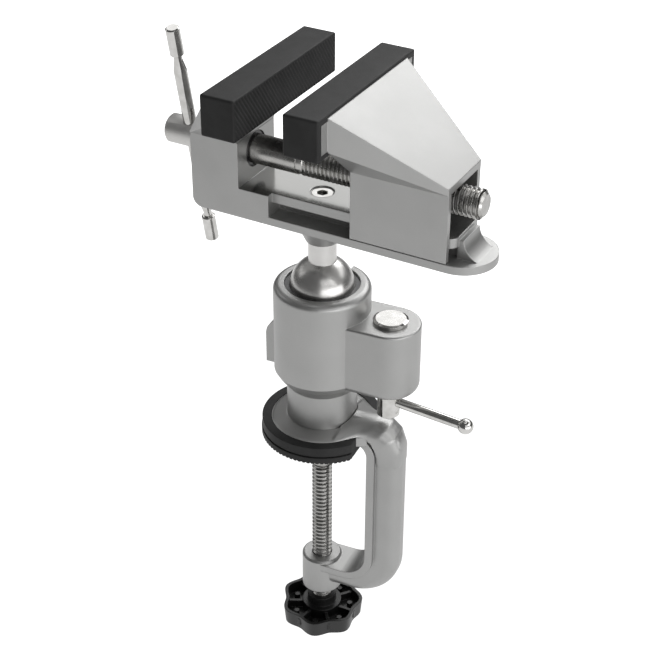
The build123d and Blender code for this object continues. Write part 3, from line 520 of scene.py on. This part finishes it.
def castRoot():
    # the arm's root as it is cast, running out on to the disc in wide fillets
    s = rootSettings
    bm = bmesh.new()
    ringCount, archCount = s["ringCount"], s["archCount"]
    angles = [2 * math.pi * step / ringCount for step in range(ringCount)]
    rings = []
    for radius, height in s["disc"]:
        rings.append([bm.verts.new((radius * mm * math.cos(a), radius * mm * math.sin(a), height * mm))
                      for a in angles])
    for first, second in zip(rings, rings[1:] + rings[:1]):
        for step in range(ringCount):
            after = (step + 1) % ringCount
            bm.faces.new((first[step], first[after], second[after], second[step]))
    arches = []
    for edgeX, edgeZ, crestX, crestZ, half, fullness in s["sections"]:
        arch = []
        for step in range(archCount + 1):
            angle = math.pi * step / archCount
            across = math.copysign(abs(math.cos(angle)) ** (2 / fullness), math.cos(angle)) * half
            rise = math.sin(angle) ** (2 / fullness)
            x = edgeX + (crestX - edgeX) * rise
            z = edgeZ + (crestZ - edgeZ) * rise
            arch.append(bm.verts.new((x * mm, across * mm, z * mm)))
        arches.append(arch)
    for first, second in zip(arches, arches[1:]):
        for step in range(archCount + 1):
            after = (step + 1) % (archCount + 1)
            bm.faces.new((first[step], first[after], second[after], second[step]))
    bm.faces.new(arches[0])
    bm.faces.new(arches[-1])
    bmesh.ops.rotate(bm, verts=bm.verts, cent=(0, 0, 0),
                     matrix=Matrix.Rotation(math.radians(s["yaw"]), 3, "Z"))
    rough = meshObject("rootRough", bm, castMaterial)
    tool = bmesh.new()
    depth = 20 * mm
    bmesh.ops.create_cone(tool, cap_ends=True, segments=ringCount, radius1=s["skirt"] * mm,
                          radius2=s["skirt"] * mm, depth=depth,
                          matrix=Matrix.Translation((0, 0, s["skirtZ"] * mm + depth / 2)))
    cutter = meshObject("rootCutter", tool, castMaterial)
    remesh = rough.modifiers.new("remesh", "REMESH")
    remesh.mode = "VOXEL"
    remesh.voxel_size = s["voxel"] * mm
    smooth = rough.modifiers.new("smooth", "SMOOTH")
    smooth.factor = 0.5
    smooth.iterations = s["smoothing"]
    cut = rough.modifiers.new("cut", "BOOLEAN")
    cut.operation = "DIFFERENCE"
    cut.object = cutter
    cut.solver = "EXACT"
    graph = bpy.context.evaluated_depsgraph_get()
    mesh = bpy.data.meshes.new_from_object(rough.evaluated_get(graph))
    piece = bpy.data.objects.new("castArmRoot", mesh)
    mesh.name = "castArmRoot"
    mesh.materials.clear()
    mesh.materials.append(castMaterial)
    bpy.context.scene.collection.objects.link(piece)
    for scrap in (rough, cutter):
        bpy.data.objects.remove(scrap)
    smoothByAngle(piece, 45)
    return piece


rootPiece = castRoot()
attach(rootPiece, "base")
print("arm's root cast")

lightSettings = {
    "studioGrey": 0.06,         # what is left of the room's light between the softboxes
    "skyGloss": 0.06,           # share of the white backdrop that metal sees
    "floorGloss": 0.85,         # share of the white floor that metal sees
    "floorShare": 0.5,          # share of plain white in what the camera sees of the floor
    "floorWhite": 1.68,         # makes the lit floor white while its shadow stays
    "floorRadius": 1.6,
    "floorFade": (0.25, 0.7),   # over this distance the floor turns plain white, like the backdrop
    "floorZ": -162.0 * mm,      # under the knob of the fully opened clamp
    "lampReach": 1.1,
    "lampAim": (0, 0, 0.05),
}
# azimuth from the front towards +X, elevation, width, height, radiance
softboxes = {
    "backSoftbox": (180, 36, 0.7, 0.5, 3.4),
    "backTopSoftbox": (180, 66, 0.6, 0.5, 0.9),
    "backRightSoftbox": (135, 36, 0.7, 0.5, 1.2),
    "backLeftSoftbox": (212, 36, 0.5, 0.5, 1.3),
    "rightSoftbox": (90, 36, 0.7, 0.5, 2.0),
    "rightLowSoftbox": (80, 3, 0.9, 0.42, 2.4),
    "frontRightSoftbox": (45, 36, 0.7, 0.5, 0.9),
    "frontRightLowSoftbox": (45, 5, 0.8, 0.42, 2.0),
    "leftSoftbox": (270, 30, 0.7, 0.5, 0.7),
    "topSoftbox": (0, 89, 0.6, 0.6, 1.5),
}


def studioWorld():
    s = lightSettings
    world = bpy.data.worlds.new("paleStudio")
    bpy.context.scene.world = world
    world.use_nodes = True
    tree = world.node_tree
    tree.nodes.clear()
    path = addNode(tree, "ShaderNodeLightPath")
    glossy = addNode(tree, "ShaderNodeMath", {"operation": "MULTIPLY", 1: s["skyGloss"]},
                     {0: path.outputs["Is Glossy Ray"]})
    seen = addNode(tree, "ShaderNodeMath", {"operation": "ADD"},
                   {0: path.outputs["Is Camera Ray"], 1: path.outputs["Is Transmission Ray"]})
    share = addNode(tree, "ShaderNodeMath", {"operation": "ADD", "use_clamp": True},
                    {0: seen.outputs[0], 1: glossy.outputs[0]})
    studio = addNode(tree, "ShaderNodeBackground", {"Color": (1, 1, 1, 1), "Strength": s["studioGrey"]})
    white = addNode(tree, "ShaderNodeBackground", {"Color": (1, 1, 1, 1), "Strength": 1.0})
    mix = addNode(tree, "ShaderNodeMixShader",
                  links={0: share.outputs[0], 1: studio.outputs[0], 2: white.outputs[0]})
    addNode(tree, "ShaderNodeOutputWorld", links={"Surface": mix.outputs[0]})


def paleFloor():
    s = lightSettings
    material = bpy.data.materials.new("mattWhitePaper")   # seamless paper: plain white, with a soft shade
    material.use_nodes = True
    # its light depends on the kind of ray, so only rays that hit it count
    material.cycles.emission_sampling = "NONE"
    tree = material.node_tree
    tree.nodes.clear()
    path = addNode(tree, "ShaderNodeLightPath")
    seen = addNode(tree, "ShaderNodeMath", {"operation": "ADD"},
                   {0: path.outputs["Is Camera Ray"], 1: path.outputs["Is Transmission Ray"]})
    glossy = addNode(tree, "ShaderNodeMath", {"operation": "MULTIPLY", 1: s["floorGloss"]},
                     {0: path.outputs["Is Glossy Ray"]})
    place = addNode(tree, "ShaderNodeTexCoord")
    distance = addNode(tree, "ShaderNodeVectorMath", {"operation": "LENGTH"}, {0: place.outputs["Object"]})
    fade = addNode(tree, "ShaderNodeMapRange", {
        "From Min": s["floorFade"][0], "From Max": s["floorFade"][1], "To Min": s["floorShare"],
    }, {"Value": distance.outputs["Value"]})
    share = addNode(tree, "ShaderNodeMath", {"operation": "MULTIPLY_ADD", "use_clamp": True},
                    {0: seen.outputs[0], 1: fade.outputs["Result"], 2: glossy.outputs[0]})
    strength = addNode(tree, "ShaderNodeMath", {"operation": "MULTIPLY_ADD", 1: s["floorWhite"] - 1, 2: 1.0},
                       {0: seen.outputs[0]})
    matt = addNode(tree, "ShaderNodeBsdfDiffuse", {"Color": (0.8, 0.8, 0.8, 1)})
    white = addNode(tree, "ShaderNodeEmission", {"Color": (1, 1, 1, 1)}, {"Strength": strength.outputs[0]})
    mix = addNode(tree, "ShaderNodeMixShader",
                  links={0: share.outputs[0], 1: matt.outputs[0], 2: white.outputs[0]})
    addNode(tree, "ShaderNodeOutputMaterial", links={"Surface": mix.outputs[0]})
    bm = bmesh.new()
    bmesh.ops.create_circle(bm, cap_ends=True, segments=96, radius=s["floorRadius"],
                            matrix=Matrix.Translation((0, 0, s["floorZ"])))
    floor = meshObject("studioFloor", bm, material)


def addSoftbox(name, azimuth, elevation, width, height, radiance):
    s = lightSettings
    data = bpy.data.lights.new(name, "AREA")
    data.shape = "RECTANGLE"
    data.size, data.size_y = width, height
    data.energy = radiance * math.pi * width * height
    lamp = bpy.data.objects.new(name, data)
    turn, rise = math.radians(azimuth), math.radians(elevation)
    away = Vector((math.cos(rise) * math.sin(turn), -math.cos(rise) * math.cos(turn), math.sin(rise)))
    lamp.location = Vector(s["lampAim"]) + s["lampReach"] * away
    lamp.rotation_euler = (-away).to_track_quat("-Z", "Y").to_euler()
    bpy.context.scene.collection.objects.link(lamp)


studioWorld()
paleFloor()
for name, settings in softboxes.items():
    addSoftbox(name, *settings)

cameraSettings = {
    "place": (0.2581, -0.4652, 0.3866),
    "tilt": 57.444,
    "heading": 28.56,
    "roll": 0.31,
    "lens": 85.03,
}
cameraData = bpy.data.cameras.new("photoCamera")
cameraData.lens = cameraSettings["lens"]
cameraData.sensor_width = 36.0
cameraData.clip_start = 0.01
camera = bpy.data.objects.new("photoCamera", cameraData)
turn = Matrix.Rotation(math.radians(cameraSettings["heading"]), 4, "Z")
turn = turn @ Matrix.Rotation(math.radians(cameraSettings["tilt"]), 4, "X")
turn = turn @ Matrix.Rotation(math.radians(cameraSettings["roll"]), 4, "Z")
camera.matrix_world = Matrix.Translation(cameraSettings["place"]) @ turn
bpy.context.scene.collection.objects.link(camera)
bpy.context.scene.camera = camera
bpy.context.scene.view_settings.view_transform = "Standard"
print("stage, light and camera set")

bpy.context.view_layer.update()
